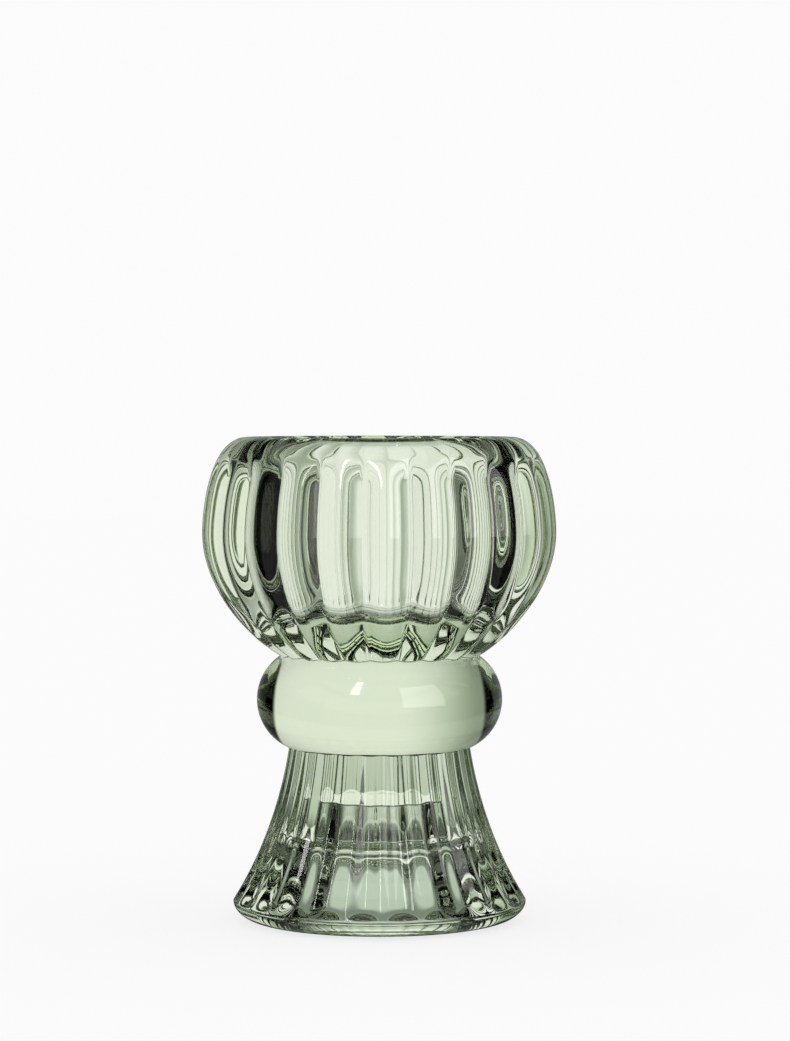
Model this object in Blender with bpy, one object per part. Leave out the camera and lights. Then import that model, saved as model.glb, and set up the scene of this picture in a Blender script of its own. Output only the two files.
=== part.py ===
"""Pressed-glass candlestick in three glass pieces: fluted bowl, smooth neck ring and fluted foot.

The bowl holds a tealight. Turned over, the socket in the foot holds a taper candle. Every piece is a
closed profile spun round the upright axis. The flutes are then pressed into the outer skin of the
bowl and the foot, and the bowl and the foot are cut to seat on the rounded neck ring.
Units are metres, +Z is up, and the origin is the centre of the face that the foot stands on.
"""

import math

import bmesh
import bpy

# Flutes, shared by the bowl and the foot
FLUTE_COUNT = 24
COLUMNS_PER_FLUTE = 4
FLUTE_FULLNESS = 0.7        # 1 is a round rib with a sharp valley, 0 is a plain wave

# Bowl, outside
BOWL_RADIUS = 0.04245
BELLY_HEIGHT = 0.0926
RIM_HEIGHT = 0.1155
RIM_RADIUS = 0.0316         # where the outside turns level at the top
SHOULDER_REACH = 0.0094     # how far the level top carries on outwards before it turns down
BELLY_RISE = 0.0047         # how long the side stays upright above the belly
BELLY_DROP = 0.0118         # and below it
UNDERSIDE_RADIUS = 0.0228
UNDERSIDE_HEIGHT = 0.0625
UNDERSIDE_REACH = 0.0122    # how far the underside heads outwards before it turns up
UNDERSIDE_SLOPE = math.radians(29)
BOWL_FLUTE_DEPTH = 0.0022
BOWL_FLUTE_TOP = 0.1125     # the rim above this is smooth
BOWL_FLUTE_FADE = 0.0075

# Bowl, inside
LIP_WIDTH = 0.0030          # level top of the rim, from its middle to the cavity
LIP_DROP = 0.0036
MOUTH_RADIUS = 0.0283
CAVITY_RADIUS = 0.0294
CAVITY_BELLY = 0.0885
CAVITY_FLOOR = 0.0743
CAVITY_CORNER = 0.0068

# Neck ring, a solid knop with flat seats above and below
RING_HEIGHT = 0.0527
RING_CORE_RADIUS = 0.0170
RING_TUBE_RADIUS = 0.0125
RING_SEAT_RADIUS = 0.0200
SEAT_GAP = 0.0003           # clearance between the ring and what seats on it

# Foot, outside
FOOT_RADIUS = 0.0351
FOOT_BASE_RADIUS = 0.0308
FOOT_TOE = 0.0034           # height of the rounded toe
FOOT_TOE_RISE = 0.0008
FOOT_NECK_RADIUS = 0.0216
FOOT_NECK_REACH = 0.0012
FOOT_NECK_LENGTH = 0.0153
FOOT_TOP = 0.0430
FOOT_FLUTE_DEPTH = 0.0015
FOOT_NECK_FLUTE_DEPTH = 0.0007
FOOT_FLUTE_START = 0.0030   # the toe below this is smooth
FOOT_FLUTE_RUN = 0.0040     # height over which the flutes grow above it

# Foot, hollow from below: a round recess, and the taper socket above its shoulder
RECESS_RADIUS = 0.0202
RECESS_DRAFT = 0.0006       # the recess is wider at the base by this much
RECESS_HEIGHT = 0.0157
RECESS_CORNER = 0.0016
SHOULDER_ROUND = 0.0010     # rounding where the shoulder turns up into the socket
SOCKET_RADIUS = 0.0125
SOCKET_DRAFT = 0.0003       # the socket is wider at the shoulder by this much
SOCKET_HEIGHT = 0.0279
SOCKET_CORNER = 0.0010

GLASS_COLOUR = (0.62, 0.70, 0.60, 1.0)
GLASS_ROUGHNESS = 0.03
SMOOTH_ANGLE = math.radians(30)
WELD_DISTANCE = 1e-6


def clear_scene():
    """Removes every object, so that the part stands alone."""
    for item in list(bpy.data.objects):
        bpy.data.objects.remove(item, do_unlink=True)


def glass_material(name):
    """Gives one piece its own pale grey-green glass."""
    material = bpy.data.materials.new(name)
    material.use_nodes = True
    shader = material.node_tree.nodes["Principled BSDF"]
    shader.inputs["Base Color"].default_value = GLASS_COLOUR
    shader.inputs["Roughness"].default_value = GLASS_ROUGHNESS
    shader.inputs["Metallic"].default_value = 0.0
    shader.inputs["Transmission Weight"].default_value = 1.0
    material.diffuse_color = GLASS_COLOUR
    return material


def bezier(start, start_handle, end_handle, end, steps):
    """Points of a cubic curve in the (radius, height) plane, both ends included."""
    points = []
    for index in range(steps + 1):
        t = index / steps
        weights = ((1 - t) ** 3, 3 * t * (1 - t) ** 2, 3 * t * t * (1 - t), t ** 3)
        corners = (start, start_handle, end_handle, end)
        radius = sum(weight * corner[0] for weight, corner in zip(weights, corners))
        height = sum(weight * corner[1] for weight, corner in zip(weights, corners))
        points.append((radius, height))
    return points


def arc(centre, radius, first, last, steps):
    """Points of a circular arc in the (radius, height) plane, angles in degrees from outwards."""
    points = []
    for index in range(steps + 1):
        angle = math.radians(first + (last - first) * index / steps)
        points.append((centre[0] + radius * math.cos(angle), centre[1] + radius * math.sin(angle)))
    return points


def smooth_step(value):
    """Rises smoothly from 0 to 1 as value goes from 0 to 1."""
    value = min(max(value, 0.0), 1.0)
    return value * value * (3 - 2 * value)


def join_outline(*stretches):
    """Puts stretches end to end and drops the points that repeat."""
    outline = []
    for point in (point for stretch in stretches for point in stretch):
        if not outline or math.dist(point[:2], outline[-1][:2]) > WELD_DISTANCE:
            outline.append(point)
    return outline


def plain(points):
    """Marks a stretch of outline as round: each point is (radius, height, flute depth)."""
    return [(radius, height, 0.0) for radius, height in points]


def fluted(points, depth_at):
    """Marks a stretch of outline as fluted, with a depth that depends on the height."""
    return [(radius, height, depth_at(height)) for radius, height in points]


def rib_height(angle):
    """Height of the rib's skin across one flute: 1 on the crest and 0 in the valley."""
    across = (angle * FLUTE_COUNT / math.tau + 0.5) % 1.0 * 2 - 1
    round_rib = 1 - across * across
    wave = 0.5 + 0.5 * math.cos(math.pi * across)
    return FLUTE_FULLNESS * round_rib + (1 - FLUTE_FULLNESS) * wave


def spin_solid(name, outline):
    """Spins an outline from the axis back to the axis into a closed solid and presses its flutes."""
    mesh_builder = bmesh.new()
    depth_layer = mesh_builder.verts.layers.float.new("flute_depth")
    verts = []
    for radius, height, depth in outline:
        vert = mesh_builder.verts.new((0.0, -radius, height))
        vert[depth_layer] = depth
        verts.append(vert)
    edges = [mesh_builder.edges.new(pair) for pair in zip(verts, verts[1:])]
    bmesh.ops.spin(
        mesh_builder,
        geom=verts + edges,
        cent=(0.0, 0.0, 0.0),
        axis=(0.0, 0.0, 1.0),
        angle=math.tau,
        steps=FLUTE_COUNT * COLUMNS_PER_FLUTE,
        use_merge=True,
    )
    bmesh.ops.remove_doubles(mesh_builder, verts=mesh_builder.verts, dist=WELD_DISTANCE)
    for vert in mesh_builder.verts:
        depth = vert[depth_layer]
        if depth > 0:
            radius = math.hypot(vert.co.x, vert.co.y)
            pressed = radius - depth * (1 - rib_height(math.atan2(vert.co.x, -vert.co.y)))
            vert.co.x *= pressed / radius
            vert.co.y *= pressed / radius
    bmesh.ops.recalc_face_normals(mesh_builder, faces=mesh_builder.faces)
    mesh_builder.verts.layers.float.remove(depth_layer)
    mesh = bpy.data.meshes.new(name)
    mesh_builder.to_mesh(mesh)
    mesh_builder.free()
    mesh.shade_smooth()
    mesh.set_sharp_from_angle(angle=SMOOTH_ANGLE)
    solid = bpy.data.objects.new(name, mesh)
    bpy.context.scene.collection.objects.link(solid)
    return solid


def ring_outline(clearance):
    """Outline of the neck ring, or of the space that it needs when clearance is over 0."""
    tube_radius = RING_TUBE_RADIUS + clearance
    centre = (RING_CORE_RADIUS, RING_HEIGHT)
    reach = RING_SEAT_RADIUS - RING_CORE_RADIUS
    seat_angle = math.degrees(math.acos(reach / tube_radius))
    side = arc(centre, tube_radius, -seat_angle, seat_angle, steps=11)
    return plain([(0.0, side[0][1])] + side + [(0.0, side[-1][1])])


def bowl_outside():
    """The bowl's outer skin from its underside to the level top of the rim."""
    underside_handle = (
        UNDERSIDE_RADIUS + UNDERSIDE_REACH * math.cos(UNDERSIDE_SLOPE),
        UNDERSIDE_HEIGHT + UNDERSIDE_REACH * math.sin(UNDERSIDE_SLOPE),
    )
    lower = bezier(
        (UNDERSIDE_RADIUS, UNDERSIDE_HEIGHT),
        underside_handle,
        (BOWL_RADIUS, BELLY_HEIGHT - BELLY_DROP),
        (BOWL_RADIUS, BELLY_HEIGHT),
        steps=8,
    )
    upper = bezier(
        (BOWL_RADIUS, BELLY_HEIGHT),
        (BOWL_RADIUS, BELLY_HEIGHT + BELLY_RISE),
        (RIM_RADIUS + SHOULDER_REACH, RIM_HEIGHT),
        (RIM_RADIUS, RIM_HEIGHT),
        steps=8,
    )
    return lower + upper[1:]


def bowl_inside():
    """The lip, the cavity's wall, its rounded corner and its floor, down to the axis."""
    corner_centre = (CAVITY_RADIUS - CAVITY_CORNER, CAVITY_FLOOR + CAVITY_CORNER)
    mouth_height = RIM_HEIGHT - LIP_DROP
    lip = bezier(
        (RIM_RADIUS, RIM_HEIGHT),
        (RIM_RADIUS - LIP_WIDTH / 2, RIM_HEIGHT),
        (MOUTH_RADIUS, mouth_height + LIP_DROP / 2),
        (MOUTH_RADIUS, mouth_height),
        steps=3,
    )
    wall = bezier(
        (MOUTH_RADIUS, mouth_height),
        (MOUTH_RADIUS, mouth_height - (mouth_height - CAVITY_BELLY) / 2),
        (CAVITY_RADIUS, CAVITY_BELLY + (mouth_height - CAVITY_BELLY) / 2),
        (CAVITY_RADIUS, CAVITY_BELLY),
        steps=2,
    )
    corner = arc(corner_centre, CAVITY_CORNER, 0, -90, steps=4)
    return lip + wall + corner + [(0.0, CAVITY_FLOOR)]


def bowl_flute_depth(height):
    """Depth of the bowl's flutes: full below and gone at the smooth rim."""
    return BOWL_FLUTE_DEPTH * smooth_step((BOWL_FLUTE_TOP - height) / BOWL_FLUTE_FADE)


def foot_outside():
    """The foot's outer skin from the base ring, round the toe and up the flare to the neck."""
    toe = bezier(
        (FOOT_BASE_RADIUS, 0.0),
        (FOOT_BASE_RADIUS + (FOOT_RADIUS - FOOT_BASE_RADIUS) / 2, 0.0),
        (FOOT_RADIUS, FOOT_TOE / 2),
        (FOOT_RADIUS, FOOT_TOE),
        steps=4,
    )
    flare = bezier(
        (FOOT_RADIUS, FOOT_TOE),
        (FOOT_RADIUS, FOOT_TOE + FOOT_TOE_RISE),
        (FOOT_NECK_RADIUS + FOOT_NECK_REACH, FOOT_TOP - FOOT_NECK_LENGTH),
        (FOOT_NECK_RADIUS, FOOT_TOP),
        steps=8,
    )
    return toe + flare[1:]


def foot_inside():
    """The hollow of the foot, from the socket's end on the axis down to the base ring."""
    corner_centre = (SOCKET_RADIUS - SOCKET_CORNER, SOCKET_HEIGHT - SOCKET_CORNER)
    socket_end = arc(corner_centre, SOCKET_CORNER, 90, 0, steps=2)
    socket_mouth_radius = SOCKET_RADIUS + SOCKET_DRAFT
    shoulder_edge = (socket_mouth_radius + SHOULDER_ROUND, RECESS_HEIGHT + SHOULDER_ROUND)
    shoulder = arc(shoulder_edge, SHOULDER_ROUND, 180, 270, steps=2)
    corner_centre = (RECESS_RADIUS - RECESS_CORNER, RECESS_HEIGHT - RECESS_CORNER)
    recess_end = arc(corner_centre, RECESS_CORNER, 90, 0, steps=2)
    recess_mouth = (RECESS_RADIUS + RECESS_DRAFT, 0.0)
    return [(0.0, SOCKET_HEIGHT)] + socket_end + shoulder + recess_end + [recess_mouth]


def foot_flute_depth(height):
    """Depth of the foot's flutes: none on the toe, deep above it, shallow at the neck."""
    along = smooth_step(height / FOOT_TOP)
    full_depth = FOOT_FLUTE_DEPTH + (FOOT_NECK_FLUTE_DEPTH - FOOT_FLUTE_DEPTH) * along
    return full_depth * smooth_step((height - FOOT_FLUTE_START) / FOOT_FLUTE_RUN)


def cut_seat(solid, cutter):
    """Cuts the ring's space out of a piece, so that the piece seats on the ring."""
    cut = solid.modifiers.new("seat", "BOOLEAN")
    cut.operation = "DIFFERENCE"
    cut.solver = "EXACT"
    cut.object = cutter


def build():
    """Builds the three pieces of the candlestick."""
    clear_scene()
    ring = spin_solid("neck_ring", ring_outline(0.0))
    bowl = spin_solid("bowl", join_outline(
        plain([(0.0, UNDERSIDE_HEIGHT)]),
        fluted(bowl_outside(), bowl_flute_depth),
        plain(bowl_inside()),
    ))
    foot = spin_solid("foot", join_outline(
        plain(foot_inside()),
        fluted(foot_outside(), foot_flute_depth),
        plain([(0.0, FOOT_TOP)]),
    ))
    cutter = spin_solid("ring_space", ring_outline(SEAT_GAP))
    cutter.hide_render = True
    cutter.display_type = "WIRE"
    for solid in (bowl, foot):
        cut_seat(solid, cutter)

    for solid in (bowl, ring, foot):
        solid.data.materials.append(glass_material(solid.name + "_glass"))


build()
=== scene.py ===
"""Looks of the pressed-glass candlestick: fluted bowl, smooth neck ring and fluted hollow foot.

Each piece is a closed glass skin, spun round the upright axis and then pressed to shape. The three
pieces are taken as fused, so the faces where they join are clear and only the outer skin bends
light. Units are metres, +Z is up and the origin is the centre of the foot's base.
"""

import logging
import math
from collections.abc import Callable
from dataclasses import dataclass, field
from enum import Enum
from functools import cached_property
from typing import ClassVar, TypeAlias

import bmesh
import bpy
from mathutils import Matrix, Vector


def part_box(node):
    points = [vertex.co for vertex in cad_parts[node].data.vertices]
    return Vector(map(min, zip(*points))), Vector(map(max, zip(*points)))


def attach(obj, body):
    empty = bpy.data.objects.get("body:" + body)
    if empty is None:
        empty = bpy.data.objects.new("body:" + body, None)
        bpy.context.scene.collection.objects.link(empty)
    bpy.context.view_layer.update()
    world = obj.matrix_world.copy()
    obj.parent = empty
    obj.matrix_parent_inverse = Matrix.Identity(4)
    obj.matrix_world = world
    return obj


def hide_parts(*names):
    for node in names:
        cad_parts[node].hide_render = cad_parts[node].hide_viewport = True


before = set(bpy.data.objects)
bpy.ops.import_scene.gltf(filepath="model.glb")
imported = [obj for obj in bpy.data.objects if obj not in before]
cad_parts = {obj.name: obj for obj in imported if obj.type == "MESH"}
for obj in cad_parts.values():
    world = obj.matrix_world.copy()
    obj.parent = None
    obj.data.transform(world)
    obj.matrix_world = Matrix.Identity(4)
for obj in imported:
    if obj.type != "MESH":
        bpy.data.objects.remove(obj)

MM = 0.001
WELD_DISTANCE = 1e-6
SHARP_ANGLE = math.radians(32)
SEAM_HALVINGS = 40
JOINT_ROWS = 5              # rows of faces from the axis to the edge of a joint
JOIN_ATTRIBUTE = "fused_face"
WHITE = (1.0, 1.0, 1.0, 1.0)

# Input numbers of a Mix node's two colours, and its output number
MIX_FIRST_COLOUR = 6
MIX_SECOND_COLOUR = 7
MIX_COLOUR = 2

# How many surfaces a ray may meet before it is given up
ALL_BOUNCES = 20
BENT_BOUNCES = 18
CLEAR_BOUNCES = 24

Point = tuple[float, float]
Tint = tuple[float, float, float]
Station = Callable[[float], Point]

log = logging.getLogger("candlestick")


def smooth_step(value: float) -> float:
    """Rises smoothly from 0 to 1 as value goes from 0 to 1."""
    value = min(max(value, 0.0), 1.0)
    return value * value * (3 - 2 * value)


def blend(low: float, high: float, share: float) -> float:
    """The number that lies share of the way from low to high."""
    return low + (high - low) * share


def spaced(steps: int) -> list[float]:
    """Even shares from 0 to 1."""
    return [index / steps for index in range(steps + 1)]


# ------------------------------------------------------------------ outlines


@dataclass(frozen=True)
class Curve:
    """A cubic curve in the (radius, height) plane."""

    start: Point
    start_handle: Point
    end_handle: Point
    end: Point

    def at(self, share: float) -> Point:
        """Finds a point of the curve.

        Args:
            share: How far along the curve it lies, from 0 to 1.

        Returns:
            The point.
        """
        rest = 1 - share
        weights = (rest**3, 3 * share * rest**2, 3 * share**2 * rest, share**3)
        corners = (self.start, self.start_handle, self.end_handle, self.end)
        return (
            sum(weight * corner[0] for weight, corner in zip(weights, corners)),
            sum(weight * corner[1] for weight, corner in zip(weights, corners)),
        )

    def points(self, steps: int) -> list[Point]:
        """Points along the curve, both ends included."""
        return [self.at(share) for share in spaced(steps)]


def oval(centre: Point, radii: Point, first: float, last: float, steps: int) -> list[Point]:
    """Points of a stretch of an upright oval in the (radius, height) plane.

    Args:
        centre: The oval's centre.
        radii: Half its width and half its height.
        first: Angle of the first point, in degrees from outwards.
        last: Angle of the last point.
        steps: How many steps lie between them.

    Returns:
        The points, both ends included.
    """
    angles = [math.radians(blend(first, last, share)) for share in spaced(steps)]
    return [(centre[0] + radii[0] * math.cos(a), centre[1] + radii[1] * math.sin(a)) for a in angles]


def arc(centre: Point, radius: float, first: float, last: float, steps: int) -> list[Point]:
    """Points of a circular arc, which is an oval as wide as it is high."""
    return oval(centre, (radius, radius), first, last, steps)


def line(start: Point, end: Point, steps: int) -> list[Point]:
    """Points of a straight stretch, both ends included."""
    return [(blend(start[0], end[0], s), blend(start[1], end[1], s)) for s in spaced(steps)]


def dished(edge: Point, rise: float, steps: int) -> list[Point]:
    """Points of a shallow dish from its edge to its middle.

    Args:
        edge: The dish's edge, as a radius and a height.
        rise: How far the middle stands above the edge.
        steps: How many stretches join the edge and the middle.

    Returns:
        The points, with the one on the axis last.
    """
    radius, height = edge
    shares = [1 - share for share in spaced(steps)]
    return [(radius * share, height + rise * (1 - share * share)) for share in shares]


def joined(*stretches: list[Point]) -> list[Point]:
    """Puts stretches of outline end to end.

    Args:
        *stretches: The stretches, each starting where the one before it ends.

    Returns:
        The points, without those that repeat.
    """
    outline: list[Point] = []
    for point in (point for stretch in stretches for point in stretch):
        if not outline or math.dist(point, outline[-1]) > WELD_DISTANCE:
            outline.append(point)
    return outline


def round_stations(points: list[Point]) -> list[Station]:
    """Stations of a plain round stretch, the same at every turn."""
    return [lambda turn, point=point: point for point in points]


def place_at(radius: float, height: float, turn: float) -> Vector:
    """The point at a radius, a height and a turn round the axis, with turn 0 at the front."""
    return Vector((radius * math.sin(turn), -radius * math.cos(turn), height))


def link_mesh(builder: bmesh.types.BMesh, name: str) -> bpy.types.Object:
    """Turns a finished bmesh into an object of the scene.

    Args:
        builder: The bmesh, which is freed.
        name: Name of the mesh and the object.

    Returns:
        The object.
    """
    mesh = bpy.data.meshes.new(name)
    builder.to_mesh(mesh)
    builder.free()
    item = bpy.data.objects.new(name, mesh)
    bpy.context.scene.collection.objects.link(item)
    return item


# ------------------------------------------------------------------ pressed skin


class GlassPiece(Enum):
    """The candlestick's pieces, by node name."""

    BOWL = "bowl"
    NECK_RING = "neck_ring"
    FOOT = "foot"

    @property
    def slot(self) -> str:
        """The record's material slot for the piece."""
        return self.value.split("_")[-1] + "_glass"


@dataclass(frozen=True)
class Fluting:
    """The ribs that run up the bowl and the foot."""

    count: int = 24
    columns_per_rib: int = 14
    twist: float = 0.0

    @property
    def rib(self) -> float:
        """How much of a turn one rib takes."""
        return math.tau / self.count

    def column_in_rib(self, turn: float) -> int:
        """Which column of its rib a turn round the axis falls on."""
        return round(turn / self.rib * self.columns_per_rib) % self.columns_per_rib

    def swell(self, turn: float, fullness: float) -> float:
        """How far a rib stands up at a turn round the axis.

        Args:
            turn: Angle round the axis, 0 at the front, where a rib's crest is if there is no twist.
            fullness: 1 gives a round rib with a sharp valley, 0 gives a plain wave.

        Returns:
            1 on the crest and 0 in the valley.
        """
        across = ((turn - self.twist) * self.count / math.tau + 0.5) % 1.0 * 2 - 1
        round_rib = 1 - across * across
        wave = 0.5 + 0.5 * math.cos(math.pi * across)
        return blend(wave, round_rib, fullness)


@dataclass(frozen=True)
class RingTube:
    """The rounded edge of the neck ring, a circle in the (radius, height) plane."""

    core_radius: float
    height: float
    tube_radius: float

    @classmethod
    def of_solid(cls, tube_radius: float = 12.5 * MM) -> "RingTube":
        """The edge of the solid ring in the frame, at its height and reaching as far out."""
        low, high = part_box(GlassPiece.NECK_RING.value)
        return cls(high.x - tube_radius, (low.z + high.z) / 2, tube_radius)

    def clear_of(self, point: Point) -> float:
        """How far a point lies outside the circle."""
        return math.dist(point, (self.core_radius, self.height)) - self.tube_radius

    def at(self, angle: float) -> Point:
        """The point of the circle at an angle, in radians from outwards."""
        return (
            self.core_radius + self.tube_radius * math.cos(angle),
            self.height + self.tube_radius * math.sin(angle),
        )

    def angle_of(self, point: Point) -> float:
        """Angle at which a point is seen from the circle's centre."""
        return math.atan2(point[1] - self.height, point[0] - self.core_radius)


@dataclass(frozen=True)
class FlutedSkin:
    """An outer skin of revolution with ribs pressed into it."""

    curves: tuple[Curve, ...]
    depth: Callable[[float], float]
    fullness: float
    fluting: Fluting

    def at(self, share: float, turn: float) -> Point:
        """Finds a place on the pressed skin.

        Args:
            share: How far along the skin's curves it lies, from 0 to 1.
            turn: Angle round the axis.

        Returns:
            The place, as a radius and a height.
        """
        reach = min(max(share, 0.0), 1.0) * len(self.curves)
        index = min(int(reach), len(self.curves) - 1)
        radius, height = self.curves[index].at(reach - index)
        hollow = 1 - self.fluting.swell(turn, self.fullness)
        return radius - self.depth(height) * hollow, height

    def crossing(self, tube: RingTube, turn: float, inside: float, outside: float) -> float:
        """Finds where the skin leaves the neck ring at a turn round the axis.

        Args:
            tube: The neck ring's edge.
            turn: Angle round the axis.
            inside: A share along the skin that lies within the ring.
            outside: A share that lies clear of it.

        Returns:
            The share at which the skin crosses the ring's surface.
        """
        for _ in range(SEAM_HALVINGS):
            middle = (inside + outside) / 2
            if tube.clear_of(self.at(middle, turn)) > 0:
                outside = middle
            else:
                inside = middle
        return (inside + outside) / 2


@dataclass
class Seam:
    """The scalloped line where a fluted skin meets the neck ring.

    The line is worked out once for each column of a rib and is the same on every rib.
    """

    skin: FlutedSkin
    tube: RingTube
    inside: float
    outside: float
    shares: dict[int, float] = field(default_factory=dict)

    def share(self, turn: float) -> float:
        """Finds how far along the skin the seam lies.

        Args:
            turn: Angle round the axis.

        Returns:
            The share along the skin.
        """
        column = self.skin.fluting.column_in_rib(turn)
        if column not in self.shares:
            self.shares[column] = self.skin.crossing(self.tube, turn, self.inside, self.outside)
        return self.shares[column]

    def place(self, turn: float) -> Point:
        """Where the seam is at a turn round the axis."""
        return self.skin.at(self.share(turn), turn)

    def skin_stations(self, rows: int, far_end: float) -> list[Station]:
        """Stations on the skin, from the seam to its far end.

        Args:
            rows: How many rows of faces lie between them.
            far_end: Share along the skin of the last station.

        Returns:
            The stations, both ends included.
        """

        def station(share: float) -> Station:
            """The station that lies share of the way to the far end."""
            return lambda turn: self.skin.at(blend(self.share(turn), far_end, share), turn)

        return [station(share) for share in spaced(rows)]

    def joint_stations(self) -> list[Station]:
        """Stations of the joint's clear face, from the axis out to the seam.

        Returns:
            The stations, without the seam itself.
        """
        middle_height = self.place(0.0)[1]

        def station(share: float) -> Station:
            """The station that lies share of the way from the axis to the seam."""

            def at_turn(turn: float) -> Point:
                """The station's place at a turn round the axis."""
                radius, height = self.place(turn)
                return radius * share, blend(middle_height, height, share**2)

            return at_turn

        return [station(share) for share in spaced(JOINT_ROWS)[:-1]]


@dataclass(frozen=True)
class Outline:
    """Stations round a closed solid, from the axis back to the axis."""

    stations: list[Station]
    joints: tuple[range, ...]

    def press(self, name: str, fluting: Fluting) -> bpy.types.Object:
        """Spins the outline into one rib, presses it to its stations and repeats it all round.

        Args:
            name: The new object's name.
            fluting: Says how many ribs go round, and how many columns of faces each has.

        Returns:
            The object, with the joint faces marked by an attribute.
        """
        builder = bmesh.new()
        row_layer = builder.verts.layers.int.new("row")
        upright = {"cent": (0.0, 0.0, 0.0), "axis": (0.0, 0.0, 1.0)}
        first_edge = self._first_edge(builder, row_layer, -fluting.rib / 2)
        bmesh.ops.spin(
            builder, geom=first_edge, angle=fluting.rib, steps=fluting.columns_per_rib, **upright
        )
        for vert in builder.verts:
            turn = math.atan2(vert.co.x, -vert.co.y)
            vert.co = place_at(*self.stations[vert[row_layer]](turn), turn)
        self._mark_joints(builder, row_layer)
        bmesh.ops.spin(
            builder,
            geom=builder.verts[:] + builder.edges[:] + builder.faces[:],
            angle=math.tau - fluting.rib,
            steps=fluting.count - 1,
            use_duplicate=True,
            **upright,
        )
        bmesh.ops.remove_doubles(builder, verts=builder.verts, dist=WELD_DISTANCE)
        bmesh.ops.recalc_face_normals(builder, faces=builder.faces)
        builder.verts.layers.int.remove(row_layer)
        piece = link_mesh(builder, name)
        piece.data.shade_smooth()
        piece.data.set_sharp_from_angle(angle=SHARP_ANGLE)
        return piece

    def _first_edge(
        self, builder: bmesh.types.BMesh, row_layer: bmesh.types.BMLayerItem, turn: float
    ) -> list[bmesh.types.BMVert | bmesh.types.BMEdge]:
        """Lays the outline down at one turn round the axis.

        Args:
            builder: The bmesh that it goes into.
            row_layer: Where each vertex keeps the number of its station.
            turn: Angle round the axis.

        Returns:
            The vertices and the edges between them.
        """
        verts = []
        for row, station in enumerate(self.stations):
            vert = builder.verts.new(place_at(*station(turn), turn))
            vert[row_layer] = row
            verts.append(vert)
        return verts + [builder.edges.new(pair) for pair in zip(verts, verts[1:])]

    def _mark_joints(self, builder: bmesh.types.BMesh, row_layer: bmesh.types.BMLayerItem) -> None:
        """Marks the faces of the joints with 1 and every other face with 0.

        Args:
            builder: The bmesh that holds one rib.
            row_layer: Where each vertex keeps the number of its station.
        """
        mark = builder.faces.layers.float.new(JOIN_ATTRIBUTE)
        for face in builder.faces:
            rows = [vert[row_layer] for vert in face.verts]
            fused = any(min(rows) in joint and max(rows) in joint for joint in self.joints)
            face[mark] = 1.0 if fused else 0.0


# ------------------------------------------------------------------ node building


NodeValue: TypeAlias = "Socket | float | tuple[float, ...] | bpy.types.NodeSocket"


@dataclass(frozen=True)
class Step:
    """A soft step from 0 to 1, by where its middle lies and how wide it is."""

    middle: float
    width: float


class NodeBook:
    """Adds nodes to one tree."""

    def __init__(self, tree: bpy.types.NodeTree) -> None:
        """Takes a tree and empties it."""
        self.tree = tree
        tree.nodes.clear()

    def add(
        self,
        kind: str,
        settings: dict[str, object] | None = None,
        values: dict[str | int, NodeValue] | None = None,
    ) -> bpy.types.Node:
        """Makes a node.

        Args:
            kind: The node's type name.
            settings: What is set on the node itself, before its sockets.
            values: Values or links of its input sockets, by name or number.

        Returns:
            The node.
        """
        node = self.tree.nodes.new(kind)
        for key, value in (settings or {}).items():
            setattr(node, key, value)
        for key, value in (values or {}).items():
            socket = node.inputs[key]
            if isinstance(value, Socket):
                value = value.output
            if isinstance(value, bpy.types.NodeSocket):
                self.tree.links.new(value, socket)
            else:
                socket.default_value = value
        return node

    def number(self, value: float) -> "Socket":
        """A plain number as a socket."""
        node = self.add("ShaderNodeValue")
        node.outputs[0].default_value = value
        return Socket(self, node.outputs[0])

    def place(self, coordinates: str) -> bpy.types.NodeSocket:
        """Where a ray lands or heads, in coordinates of the kind that is named."""
        return self.add("ShaderNodeTexCoord").outputs[coordinates]

    def parts(self, vector: bpy.types.NodeSocket) -> "list[Socket]":
        """The three numbers of a vector."""
        split = self.add("ShaderNodeSeparateXYZ", values={0: vector})
        return [Socket(self, output) for output in split.outputs]

    def length(self, vector: bpy.types.NodeSocket) -> "Socket":
        """How long a vector is."""
        node = self.add("ShaderNodeVectorMath", {"operation": "LENGTH"}, {0: vector})
        return Socket(self, node.outputs["Value"])

    def scaled(self, colour: bpy.types.NodeSocket, level: "Socket") -> bpy.types.NodeSocket:
        """A colour made brighter or dimmer by a level."""
        values = {0: colour, "Scale": level}
        return self.add("ShaderNodeVectorMath", {"operation": "SCALE"}, values).outputs[0]

    def mix_colours(self, first: NodeValue, second: NodeValue, share: NodeValue) -> bpy.types.NodeSocket:
        """Mixes two colours, with all of the first where share is 0."""
        values = {"Factor": share, MIX_FIRST_COLOUR: first, MIX_SECOND_COLOUR: second}
        return self.add("ShaderNodeMix", {"data_type": "RGBA"}, values).outputs[MIX_COLOUR]

    def mix_shaders(
        self, first: bpy.types.Node, second: bpy.types.Node, share: NodeValue
    ) -> bpy.types.Node:
        """Mixes two shaders, with all of the first where share is 0."""
        values = {0: share, 1: first.outputs[0], 2: second.outputs[0]}
        return self.add("ShaderNodeMixShader", values=values)


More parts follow.
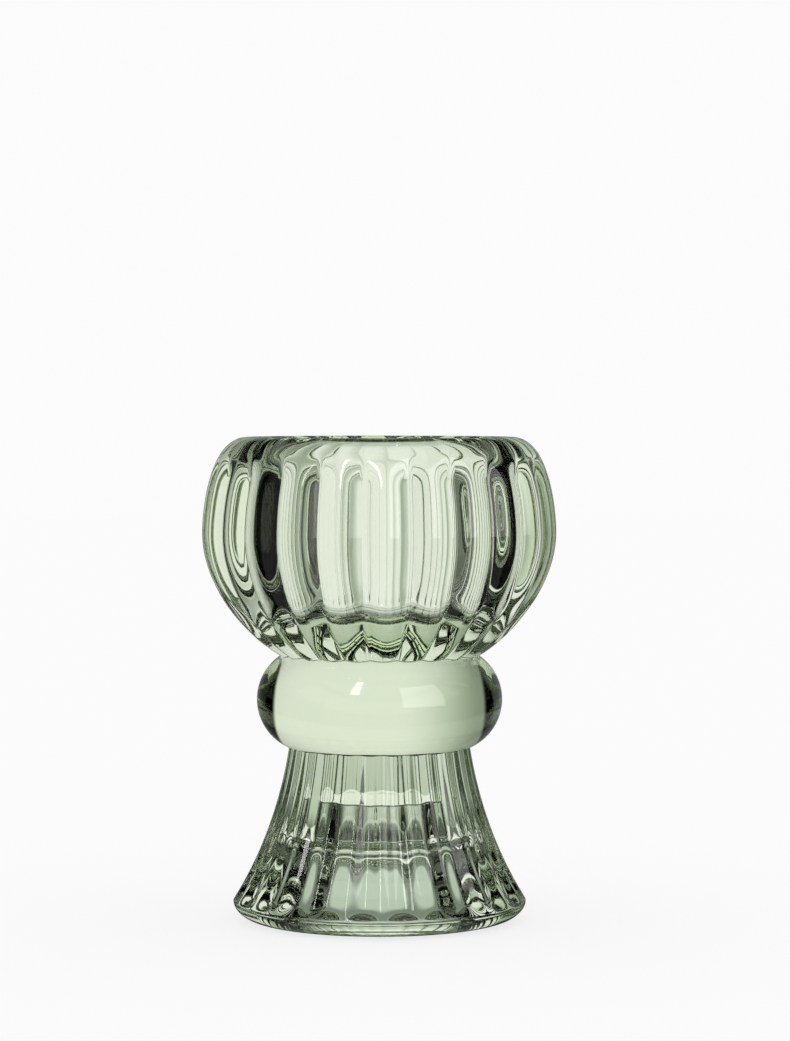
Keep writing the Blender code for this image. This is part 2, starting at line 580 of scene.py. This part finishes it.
@dataclass(frozen=True)
class Socket:
    """A node's output that can be worked with as a number."""

    book: NodeBook
    output: bpy.types.NodeSocket

    def _math(self, operation: str, *values: "Socket | float") -> "Socket":
        """Adds a Math node."""
        node = self.book.add("ShaderNodeMath", {"operation": operation}, dict(enumerate(values)))
        return Socket(self.book, node.outputs[0])

    def __add__(self, other: "Socket | float") -> "Socket":
        """self + other."""
        return self._math("ADD", self, other)

    __radd__ = __add__

    def __sub__(self, other: "Socket | float") -> "Socket":
        """self - other."""
        return self._math("SUBTRACT", self, other)

    def __rsub__(self, other: float) -> "Socket":
        """other - self."""
        return self._math("SUBTRACT", other, self)

    def __mul__(self, other: "Socket | float") -> "Socket":
        """self * other."""
        return self._math("MULTIPLY", self, other)

    __rmul__ = __mul__

    def __abs__(self) -> "Socket":
        """abs(self)."""
        return self._math("ABSOLUTE", self)

    def past(self, step: Step) -> "Socket":
        """1 where the value is past a step and 0 before it.

        Args:
            step: Where the change lies, and over what width it is softened.

        Returns:
            The share, from 0 to 1.
        """
        node = self.book.add(
            "ShaderNodeMapRange",
            {"interpolation_type": "SMOOTHSTEP"},
            {
                "Value": self,
                "From Min": step.middle - step.width / 2,
                "From Max": step.middle + step.width / 2,
            },
        )
        return Socket(self.book, node.outputs["Result"])

    def within(self, low: float, high: float, soft: float) -> "Socket":
        """1 between low and high and 0 outside, with soft edges."""
        return self.past(Step(low, soft)) * (1 - self.past(Step(high, soft)))

    def angle_to(self, other: "Socket") -> "Socket":
        """The angle of the point (other, self), in degrees."""
        return self._math("ARCTAN2", self, other) * math.degrees(1)

    def arcsine(self) -> "Socket":
        """The angle whose sine this is, in degrees."""
        return self._math("ARCSINE", self) * math.degrees(1)

    def larger(self, other: "Socket") -> "Socket":
        """The larger of two values."""
        return self._math("MAXIMUM", self, other)


@dataclass(frozen=True)
class Rays:
    """The kind of ray that asks for a colour, by what it last met. Each share is 1 or 0."""

    seen: Socket        # it comes straight from the camera
    by_glass: Socket    # glass mirrored or bent it last
    mirrored: Socket    # glass mirrored it last, whatever happened to it before

    @classmethod
    def of(cls, book: NodeBook) -> "Rays":
        """Tells the kinds of ray apart in one tree.

        Args:
            book: The tree.

        Returns:
            The shares.
        """
        path = book.add("ShaderNodeLightPath")
        seen = Socket(book, path.outputs["Is Camera Ray"])
        glossy = Socket(book, path.outputs["Is Glossy Ray"])
        bent = Socket(book, path.outputs["Is Transmission Ray"])
        return cls(seen, glossy.larger(bent), glossy * (1 - bent))


# ------------------------------------------------------------------ finishes


@dataclass(frozen=True)
class PressedGlass:
    """Thick pressed glass with a faint grey-green tint that grows with depth."""

    bends_light: float = 1.5
    skin_tint: Tint = (0.970, 0.986, 0.945)
    absorption: Tint = (3.6, 2.1, 5.6)
    absorption_scale: float = 40.0
    wave_scale: float = 90.0
    wave_detail: float = 1.0
    wave_roughness: float = 0.4
    wave_height: float = 0.03 * MM

    def material(self, name: str) -> bpy.types.Material:
        """Makes the glass of one piece.

        Args:
            name: The material's name.

        Returns:
            The material, which is clear on the faces of the joints.
        """
        material = bpy.data.materials.new(name)
        material.use_nodes = True
        book = NodeBook(material.node_tree)
        waves = book.add(
            "ShaderNodeTexNoise",
            values={
                "Vector": book.place("Object"),
                "Scale": self.wave_scale,
                "Detail": self.wave_detail,
                "Roughness": self.wave_roughness,
            },
        )
        relief = book.add(
            "ShaderNodeBump",
            values={"Strength": 1.0, "Distance": self.wave_height, "Height": waves.outputs[0]},
        )
        glass = book.add(
            "ShaderNodeBsdfPrincipled",
            values={
                "Base Color": (*self.skin_tint, 1.0),
                "Roughness": 0.0,
                "IOR": self.bends_light,
                "Transmission Weight": 1.0,
                "Normal": relief.outputs[0],
            },
        )
        clear = book.add("ShaderNodeBsdfTransparent", values={"Color": WHITE})
        joint = book.add(
            "ShaderNodeAttribute", {"attribute_type": "GEOMETRY", "attribute_name": JOIN_ATTRIBUTE}
        )
        surface = book.mix_shaders(glass, clear, joint.outputs["Fac"])
        tint = tuple(1 - loss / self.absorption_scale for loss in self.absorption)
        depth = book.add(
            "ShaderNodeVolumeAbsorption",
            values={"Color": (*tint, 1.0), "Density": self.absorption_scale},
        )
        book.add(
            "ShaderNodeOutputMaterial",
            values={"Surface": surface.outputs[0], "Volume": depth.outputs[0]},
        )
        return material


# ------------------------------------------------------------------ glass pieces


class GlassBody:
    """A piece of the candlestick, which stands for one node of the frame."""

    kind: ClassVar[GlassPiece]
    fluting: Fluting

    @cached_property
    def box(self) -> tuple[Vector, Vector]:
        """Corners of the solid that the piece stands for."""
        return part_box(self.kind.value)

    def outline(self) -> Outline:
        """The outline that the piece is spun and pressed from."""
        raise NotImplementedError

    def build(self, glass: PressedGlass) -> None:
        """Makes the piece, dresses it and ties it to its node.

        Args:
            glass: The finish of the piece.
        """
        piece = self.outline().press(self.kind.value + "_glass", self.fluting)
        piece.data.materials.append(glass.material(self.kind.slot))
        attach(piece, "root")
        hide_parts(self.kind.value)
        log.info("%s: %d faces", piece.name, len(piece.data.polygons))


@dataclass
class Bowl(GlassBody):
    """The fluted bowl: a thick pressed wall round a smooth cavity."""

    kind = GlassPiece.BOWL

    tube: RingTube
    belly_height: float = 92.6 * MM
    rim_top_radius: float = 31.6 * MM
    shoulder_reach: float = 9.4 * MM
    belly_rise: float = 4.7 * MM
    belly_drop: float = 11.8 * MM
    underside: Point = (22.8 * MM, 62.5 * MM)
    underside_reach: float = 12.2 * MM
    underside_slope: float = math.radians(29)
    flute_depth_low: float = 1.1 * MM
    flute_depth_high: float = 2.3 * MM
    flute_low: float = 64.0 * MM
    flute_high: float = 84.0 * MM
    flute_fade: float = 104.7 * MM
    flute_fade_length: float = 7.5 * MM
    flute_fullness: float = 0.89
    lip_drop: float = 3.4 * MM
    mouth_radius: float = 28.1 * MM
    cavity_radius: float = 29.45 * MM
    cavity_belly: float = 88.9 * MM
    cavity_low_radius: float = 29.4 * MM
    cavity_floor: float = 74.8 * MM
    cavity_corner: float = 6.8 * MM
    cavity_dip: float = 1.4 * MM
    skin_rows: int = 96
    lip_rows: int = 10
    upper_wall_rows: int = 14
    lower_wall_rows: int = 8
    corner_rows: int = 9
    floor_rows: int = 5
    clear_share: float = 0.4    # share along the skin that is surely clear of the ring
    fluting: Fluting = Fluting(twist=math.radians(0.5))

    @property
    def rim_height(self) -> float:
        """Height of the rim."""
        return self.box[1].z

    @property
    def radius(self) -> float:
        """Radius at the belly, on the crests."""
        return self.box[1].x

    def flute_depth(self, height: float) -> float:
        """Depth of the flutes, which is full at the belly and gone at the smooth rim.

        Args:
            height: Height above the base.

        Returns:
            The depth.
        """
        climb = (height - self.flute_low) / (self.flute_high - self.flute_low)
        depth = blend(self.flute_depth_low, self.flute_depth_high, smooth_step(climb))
        return depth * (1 - smooth_step((height - self.flute_fade) / self.flute_fade_length))

    @cached_property
    def skin(self) -> FlutedSkin:
        """The outer skin from the underside to the level top of the rim.

        Returns:
            The skin, with the flutes pressed into it.
        """
        underside_handle = (
            self.underside[0] + self.underside_reach * math.cos(self.underside_slope),
            self.underside[1] + self.underside_reach * math.sin(self.underside_slope),
        )
        lower = Curve(
            self.underside,
            underside_handle,
            (self.radius, self.belly_height - self.belly_drop),
            (self.radius, self.belly_height),
        )
        upper = Curve(
            (self.radius, self.belly_height),
            (self.radius, self.belly_height + self.belly_rise),
            (self.rim_top_radius + self.shoulder_reach, self.rim_height),
            (self.rim_top_radius, self.rim_height),
        )
        return FlutedSkin((lower, upper), self.flute_depth, self.flute_fullness, self.fluting)

    @cached_property
    def seam(self) -> Seam:
        """The seam at which the bowl leaves the ring."""
        return Seam(self.skin, self.tube, inside=0.0, outside=self.clear_share)

    def cavity(self) -> list[Point]:
        """The lip, the cavity's wall, its rounded corner and its floor, down to the axis.

        Returns:
            The points of the outline.
        """
        mouth = self.rim_height - self.lip_drop
        lip = Curve(
            (self.rim_top_radius, self.rim_height),
            ((self.rim_top_radius + self.mouth_radius) / 2, self.rim_height),
            (self.mouth_radius, mouth + self.lip_drop / 2),
            (self.mouth_radius, mouth),
        )
        corner_top = self.cavity_floor + self.cavity_corner
        upper = self._wall((self.mouth_radius, mouth), (self.cavity_radius, self.cavity_belly))
        lower = self._wall((self.cavity_radius, self.cavity_belly), (self.cavity_low_radius, corner_top))
        centre = (self.cavity_low_radius - self.cavity_corner, corner_top)
        corner = arc(centre, self.cavity_corner, 0, -90, self.corner_rows)
        return joined(
            lip.points(self.lip_rows),
            upper.points(self.upper_wall_rows),
            lower.points(self.lower_wall_rows),
            corner,
            dished(corner[-1], -self.cavity_dip, self.floor_rows),
        )

    @staticmethod
    def _wall(top: Point, low: Point) -> Curve:
        """A stretch of wall that is upright at both ends."""
        middle = (top[1] + low[1]) / 2
        return Curve(top, (top[0], middle), (low[0], middle), low)

    def outline(self) -> Outline:
        """The bowl's outline, from the joint with the ring, up the skin and down the cavity.

        Returns:
            The outline, with its one joint.
        """
        skin = self.seam.skin_stations(self.skin_rows, far_end=1.0)
        stations = self.seam.joint_stations() + skin + round_stations(self.cavity()[1:])
        return Outline(stations, (range(JOINT_ROWS + 1),))


@dataclass
class Foot(GlassBody):
    """The fluted foot, hollow from below, with a socket for a taper candle."""

    kind = GlassPiece.FOOT

    tube: RingTube
    base_radius: float = 29.2 * MM
    toe: float = 4.4 * MM
    toe_rise: float = 0.7 * MM
    neck_radius: float = 21.45 * MM
    neck_reach: float = 3.3 * MM
    neck_length: float = 24.0 * MM
    top: float = 43.0 * MM
    flute_depth_toe: float = 1.3 * MM
    flute_depth_neck: float = 0.75 * MM
    flute_swell: float = 0.25 * MM
    flute_start: float = 4.0 * MM
    flute_run: float = 2.8 * MM
    flute_ease_start: float = 3.0 * MM
    flute_ease_run: float = 38.0 * MM
    flute_fullness: float = 0.0
    base_edge: float = 0.5 * MM
    base_edge_height: float = 1.2 * MM
    recess_mouth_radius: float = 19.3 * MM
    recess_radius: float = 20.0 * MM
    recess_height: float = 18.8 * MM
    recess_corner: float = 2.8 * MM
    shoulder_round: float = 0.3 * MM
    socket_mouth_radius: float = 13.4 * MM
    socket_radius: float = 12.6 * MM
    socket_height: float = 27.9 * MM
    socket_corner: float = 0.6 * MM
    socket_sag: float = 0.8 * MM
    skin_rows: int = 84
    bend_rows: int = 6
    wall_rows: int = 6
    level_rows: int = 3
    socket_end_rows: int = 5
    clear_share: float = 0.7    # share along the skin that is surely clear of the ring
    fluting: Fluting = Fluting(twist=math.radians(-0.5))

    @property
    def radius(self) -> float:
        """Radius at the toe, on the crests."""
        return self.box[1].x

    def flute_depth(self, height: float) -> float:
        """Depth of the flutes, which is nothing on the toe, full above it and less at the neck.

        Args:
            height: Height above the base.

        Returns:
            The depth.
        """
        along = smooth_step((height - self.flute_ease_start) / self.flute_ease_run)
        depth = blend(self.flute_depth_toe, self.flute_depth_neck, along)
        depth += self.flute_swell * math.sin(math.pi * min(height / self.top, 1.0))
        return depth * smooth_step((height - self.flute_start) / self.flute_run)

    @cached_property
    def skin(self) -> FlutedSkin:
        """The outer skin from the base, round the toe and up the flare to the neck.

        Returns:
            The skin, with the flutes pressed into it.
        """
        toe = Curve(
            (self.base_radius, 0.0),
            ((self.base_radius + self.radius) / 2, 0.0),
            (self.radius, self.toe / 2),
            (self.radius, self.toe),
        )
        flare = Curve(
            (self.radius, self.toe),
            (self.radius, self.toe + self.toe_rise),
            (self.neck_radius + self.neck_reach, self.top - self.neck_length),
            (self.neck_radius, self.top),
        )
        return FlutedSkin((toe, flare), self.flute_depth, self.flute_fullness, self.fluting)

    @cached_property
    def seam(self) -> Seam:
        """The seam at which the foot meets the ring."""
        return Seam(self.skin, self.tube, inside=1.0, outside=self.clear_share)

    def hollow(self) -> list[Point]:
        """The socket, its shoulder, the recess and the flat base, from the axis outwards.

        Returns:
            The points of the outline.
        """
        end_centre = (self.socket_radius - self.socket_corner, self.socket_height - self.socket_corner)
        end_corner = arc(end_centre, self.socket_corner, 90, 0, self.bend_rows)
        end = dished(end_corner[0], -self.socket_sag, self.socket_end_rows)[::-1]
        shoulder_centre = (
            self.socket_mouth_radius + self.shoulder_round,
            self.recess_height + self.shoulder_round,
        )
        shoulder = arc(shoulder_centre, self.shoulder_round, 180, 270, self.bend_rows)
        recess_centre = (self.recess_radius - self.recess_corner, self.recess_height - self.recess_corner)
        recess = arc(recess_centre, self.recess_corner, 90, 0, self.bend_rows)
        edge_centre = (self.recess_mouth_radius + self.base_edge, self.base_edge_height)
        edge_radii = (self.base_edge, self.base_edge_height)
        base_edge = oval(edge_centre, edge_radii, 180, 270, self.bend_rows)
        return joined(
            end,
            end_corner,
            line(end_corner[-1], shoulder[0], self.wall_rows),
            shoulder,
            line(shoulder[-1], recess[0], self.level_rows),
            recess,
            line(recess[-1], base_edge[0], self.wall_rows),
            base_edge,
            line(base_edge[-1], (self.base_radius, 0.0), self.level_rows),
        )

    def outline(self) -> Outline:
        """The foot's outline, from the hollow, round the base, up the skin and over the joint.

        Returns:
            The outline, with its one joint.
        """
        skin = self.seam.skin_stations(self.skin_rows, far_end=0.0)[::-1]
        stations = round_stations(self.hollow()[:-1]) + skin
        joint = range(len(stations) - 1, len(stations) + JOINT_ROWS)
        return Outline(stations + self.seam.joint_stations()[::-1], (joint,))


@dataclass
class NeckRing(GlassBody):
    """The smooth solid knop between the bowl and the foot."""

    kind = GlassPiece.NECK_RING

    tube: RingTube
    foot_seam: Seam
    bowl_seam: Seam
    side_rows: int = 44
    fluting: Fluting = Fluting()

    def side_station(self, share: float) -> Station:
        """Finds a station on the ring's round side.

        Args:
            share: How far up it lies between the two seams.

        Returns:
            The station.
        """

        def station(turn: float) -> Point:
            """The station's place at a turn round the axis."""
            low = self.tube.angle_of(self.foot_seam.place(turn))
            high = self.tube.angle_of(self.bowl_seam.place(turn))
            return self.tube.at(blend(low, high, share))

        return station

    def outline(self) -> Outline:
        """The ring's outline, from the joint with the foot to the joint with the bowl.

        Returns:
            The outline, with both joints.
        """
        side = [self.side_station(share) for share in spaced(self.side_rows)]
        below = self.foot_seam.joint_stations()
        above = self.bowl_seam.joint_stations()[::-1]
        last_side = len(below + side) - 1
        joints = (range(JOINT_ROWS + 1), range(last_side, last_side + JOINT_ROWS + 1))
        return Outline(below + side + above, joints)


# ------------------------------------------------------------------ studio


@dataclass(frozen=True)
class Card:
    """A soft-edged card or lamp box of the studio, with its sides and edges in degrees.

    Near and far are compass angles, with 0 straight behind the candlestick. A card's are the same
    to the left and to the right, and a lamp box's grow to the right only. Bottom and top are
    heights above the horizon. A later card hides an earlier one, and lamp boxes add their light.
    """

    near: float
    far: float
    bottom: float
    top: float
    level: float
    soft: float = 5.0

    def covers(self, compass: Socket, height: Socket) -> Socket:
        """1 in the directions that the card covers and 0 elsewhere."""
        across = compass.within(self.near, self.far, self.soft)
        return across * height.within(self.bottom, self.top, self.soft)


@dataclass(frozen=True)
class Room:
    """The room that the glass shows: a pale backdrop, dark above and at the sides, and a pale card.

    The card is on the camera's side. Mirrored rays see all this dimmer than bent rays do, and they
    alone see the lamp boxes. A level of 1 is white, and angles are in degrees.
    """

    yaw: float = -2.0
    white: float = 0.97
    ceiling: float = 0.15
    backdrop_left: float = 0.36
    backdrop_right: float = 0.95
    backdrop_ramp: Step = Step(-24, 40)
    backdrop_side: Step = Step(48, 5)
    backdrop_top: Step = Step(25, 6)
    cards: tuple[Card, ...] = (
        Card(-5, 60, 27, 50, 0.0),
        Card(48, 130, -95, 27, 0.0),
        Card(80, 118, -95, 27, 0.15),
        Card(130, 190, -95, 22, 1.05, 8),
    )
    lamp_boxes: tuple[Card, ...] = (
        Card(116, 158, -3, 41, 2.4, 3),
        Card(-160, -151, 26, 54, 8.0, 3),
    )
    mirror_share: float = 0.3
    dim_tint: Tint = (0.82, 1.0, 0.74)

    def level(self, compass: Socket, height: Socket) -> Socket:
        """How bright the room is in a direction.

        Args:
            compass: Angle from straight behind the candlestick, right positive.
            height: Angle above the horizon.

        Returns:
            The level.
        """
        aside = abs(compass)
        ramp = compass.past(self.backdrop_ramp) * (self.backdrop_right - self.backdrop_left)
        level = (ramp + self.backdrop_left - self.ceiling) * (1 - aside.past(self.backdrop_side))
        level = level * (1 - height.past(self.backdrop_top)) + self.ceiling
        for card in self.cards:
            level = level + (card.level - level) * card.covers(aside, height)
        return level

    def lamp_light(self, compass: Socket, height: Socket) -> Socket:
        """How bright the lamp boxes are in a direction."""
        return sum(box.covers(compass, height) * box.level for box in self.lamp_boxes)

    def as_mirrored(self, level: Socket, rays: Rays) -> Socket:
        """A level, which is lower for mirrored rays."""
        return level * (1 - rays.mirrored * (1 - self.mirror_share))

    def tinted(self, book: NodeBook, level: Socket) -> bpy.types.NodeSocket:
        """The tint of a level: the dimmer, the greener."""
        return book.mix_colours((*self.dim_tint, 1.0), WHITE, level)

    def light(self) -> None:
        """Sets up the world, which shows the room to the glass alone and is white otherwise."""
        world = bpy.data.worlds.new("room")
        bpy.context.scene.world = world
        world.use_nodes = True
        book = NodeBook(world.node_tree)
        east, north, up = book.parts(book.place("Generated"))
        compass = east.angle_to(north) + self.yaw
        height = up.arcsine()
        rays = Rays.of(book)
        level = self.as_mirrored(self.level(compass, height), rays)
        level = level + self.lamp_light(compass, height) * rays.mirrored
        glow = book.scaled(self.tinted(book, level), level)
        room = book.add("ShaderNodeBackground", values={"Color": glow})
        plain = book.add("ShaderNodeBackground", values={"Color": WHITE})
        white = book.add("ShaderNodeBackground", values={"Color": WHITE, "Strength": self.white})
        shown = book.mix_shaders(book.mix_shaders(plain, room, rays.by_glass), white, rays.seen)
        book.add("ShaderNodeOutputWorld", values={"Surface": shown.outputs[0]})


@dataclass(frozen=True)
class Floor:
    """The pale floor, which the glass shows with levels of its own.

    Outside the foot a painted shadow keeps it black at first, except in front, and it grows paler
    outwards. Under the foot painted shade keeps it dim, least in the middle of the recess. A level of 1
    is white. Every step but front_side is a distance from the axis.
    """

    room: Room
    size: float = 3.0
    drop: float = 0.2 * MM
    paint: float = 0.95
    shadow: float = 0.2
    card_height: float = -10.0      # height above the horizon at which it takes the room's level
    # Shares of the room's level, which a painted shadow takes away near the foot: past the contact, added
    # far off, and in front close by
    near: float = 0.70
    far: float = 0.30
    front: float = 1.0
    painted_shadow_edge: Step = Step(54 * MM, 24 * MM)
    far_reach: Step = Step(250 * MM, 300 * MM)
    front_side: Step = Step(130, 20)
    front_reach: Step = Step(200 * MM, 200 * MM)
    # Levels of the painted shade under the foot: in the middle of the recess, at its side and under the
    # base
    recess: float = 0.63
    recess_side: float = 0.26
    base: float = 0.12
    recess_edge: Step = Step(14.5 * MM, 4 * MM)
    base_inside: Step = Step(20.5 * MM, 1 * MM)
    base_outside: Step = Step(31 * MM, 1 * MM)
    # Painted green tint of the floor's glow near the foot, giving way to the room's tint by tint_reach
    painted_near_tint: Tint = (0.86, 1.0, 0.84)
    tint_reach: Step = Step(75 * MM, 90 * MM)

    def level(self, room: Socket, compass: Socket, reach: Socket) -> Socket:
        """How bright the floor is to the glass.

        Args:
            room: The room's level on that side.
            compass: Angle from straight behind the candlestick, right positive.
            reach: Distance from the axis.

        Returns:
            The level.
        """
        # Painted shadow beside the foot: the room's level, faded to black near it except in front
        front = abs(compass).past(self.front_side) * (1 - reach.past(self.front_reach))
        shade = self.near * reach.past(self.painted_shadow_edge) + self.far * reach.past(self.far_reach)
        shade = shade + (self.front - shade) * front
        # Painted shade under the foot, least in the middle of the recess
        under = self.recess - (self.recess - self.recess_side) * reach.past(self.recess_edge)
        under = under + (self.base - under) * reach.past(self.base_inside)
        outside = reach.past(self.base_outside)
        return room * shade * outside + under * (1 - outside)

    def material(self) -> bpy.types.Material:
        """Makes the floor matt and pale; where the glass shows it, it glows with painted light and shade
        at the room's level.

        Returns:
            The material.
        """
        material = bpy.data.materials.new("pale_floor")
        material.use_nodes = True
        book = NodeBook(material.node_tree)
        place = book.place("Object")
        east, north, _ = book.parts(place)
        compass = east.angle_to(north)
        reach = book.length(place)
        rays = Rays.of(book)
        room = self.room.level(compass + self.room.yaw, book.number(self.card_height))
        level = self.level(room, compass, reach)
        far_tint = self.room.tinted(book, level)
        tint = book.mix_colours((*self.painted_near_tint, 1.0), far_tint, reach.past(self.tint_reach))
        glow = book.scaled(tint, self.room.as_mirrored(level, rays))
        # Painted glow that the glass sees: the floor gives off its painted light and shade, though it is
        # no lamp
        painted_glow = book.add("ShaderNodeEmission", values={"Color": glow})
        white = book.add("ShaderNodeEmission", values={"Color": WHITE, "Strength": self.room.white})
        grey = (self.paint, self.paint, self.paint, 1.0)
        matt = book.add("ShaderNodeBsdfDiffuse", values={"Color": grey})
        shaded = book.mix_shaders(white, matt, self.shadow)
        shown = book.mix_shaders(book.mix_shaders(matt, painted_glow, rays.by_glass), shaded, rays.seen)
        book.add("ShaderNodeOutputMaterial", values={"Surface": shown.outputs[0]})
        return material

    def lay(self) -> bpy.types.Object:
        """Lays the floor under the candlestick.

        Returns:
            The floor.
        """
        builder = bmesh.new()
        bmesh.ops.create_grid(builder, x_segments=1, y_segments=1, size=self.size)
        floor = link_mesh(builder, "floor")
        floor.location.z = -self.drop
        floor.data.materials.append(self.material())
        return floor


@dataclass
class View:
    """The camera, a little above the rim and looking slightly down from far off.

    The lens and the sensor's width are in millimetres.
    """

    distance: float = 800 * MM
    height: float = 123.4 * MM
    aside: float = 3.7 * MM
    yaw: float = math.radians(-2)
    tilt: float = math.radians(2)
    lens: float = 115.6
    sensor: float = 36.0

    def place(self) -> None:
        """Makes the camera and points it."""
        data = bpy.data.cameras.new("camera")
        data.lens = self.lens
        data.sensor_width = self.sensor
        camera = bpy.data.objects.new("camera", data)
        right = Vector((math.cos(self.yaw), math.sin(self.yaw), 0.0))
        back = Vector((math.sin(self.yaw), -math.cos(self.yaw), 0.0))
        camera.location = back * self.distance + right * self.aside + Vector((0, 0, self.height))
        camera.rotation_euler = (math.pi / 2 - self.tilt, 0.0, self.yaw)
        bpy.context.scene.collection.objects.link(camera)
        bpy.context.scene.camera = camera


def main() -> None:
    """Builds the candlestick, the room, the floor and the camera."""
    logging.basicConfig(level=logging.INFO, format="%(name)s %(message)s")
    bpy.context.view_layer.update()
    glass = PressedGlass()
    tube = RingTube.of_solid()
    bowl = Bowl(tube)
    foot = Foot(tube)
    ring = NeckRing(tube, foot.seam, bowl.seam)
    for body in (bowl, ring, foot):
        body.build(glass)
    room = Room()
    room.light()
    Floor(room).lay()
    View().place()
    scene = bpy.context.scene
    scene.view_settings.view_transform = "Standard"
    scene.cycles.max_bounces = ALL_BOUNCES
    scene.cycles.transmission_bounces = BENT_BOUNCES
    scene.cycles.transparent_max_bounces = CLEAR_BOUNCES


if __name__ == "__main__":
    main()
